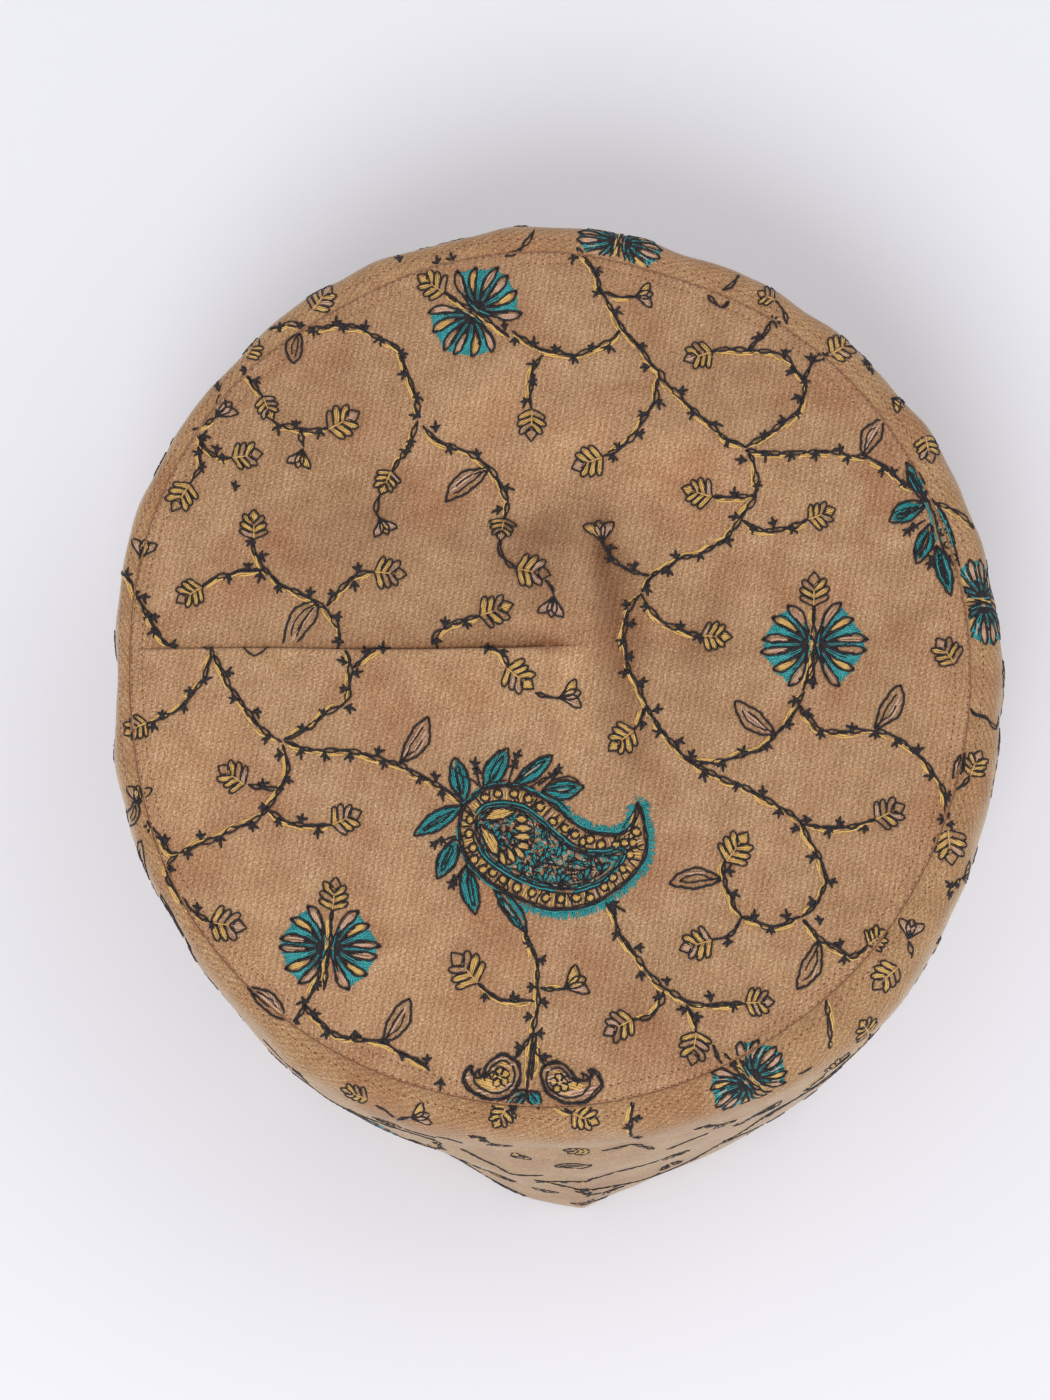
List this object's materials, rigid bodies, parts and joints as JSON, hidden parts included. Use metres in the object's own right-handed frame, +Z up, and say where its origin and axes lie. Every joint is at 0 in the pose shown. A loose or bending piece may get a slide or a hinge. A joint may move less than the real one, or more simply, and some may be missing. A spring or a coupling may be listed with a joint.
{
  "type": "embroidered skullcap",
  "caption": "Soft round brimless wool cap with a flat crown, an upright side band and allover vine, bud and paisley embroidery; stands on its open rim.",
  "frame": {"origin": "middle of the footprint, on the plane that the rim stands on", "axes": "+Z up through the crown, +Y towards the back fold, -Y towards the front fold, +X to the side away from the crown's dart"},
  "size_m": [0.1904, 0.2124, 0.0858],
  "materials": {
    "wool_cloth": "camel wool twill, matt with a soft nap",
    "black_thread": "blue-black stranded embroidery thread, satin",
    "yellow_thread": "old-gold stranded embroidery thread, silky",
    "teal_thread": "teal stranded embroidery thread, silky",
    "beige_thread": "pinkish beige embroidery thread, silky",
    "seam_thread": "reddish-brown sewing thread, matt"
  },
  "bodies": {
    "root": {"crown_panel": "wool_cloth", "side_band": "wool_cloth"}
  },
  "joints": []
}
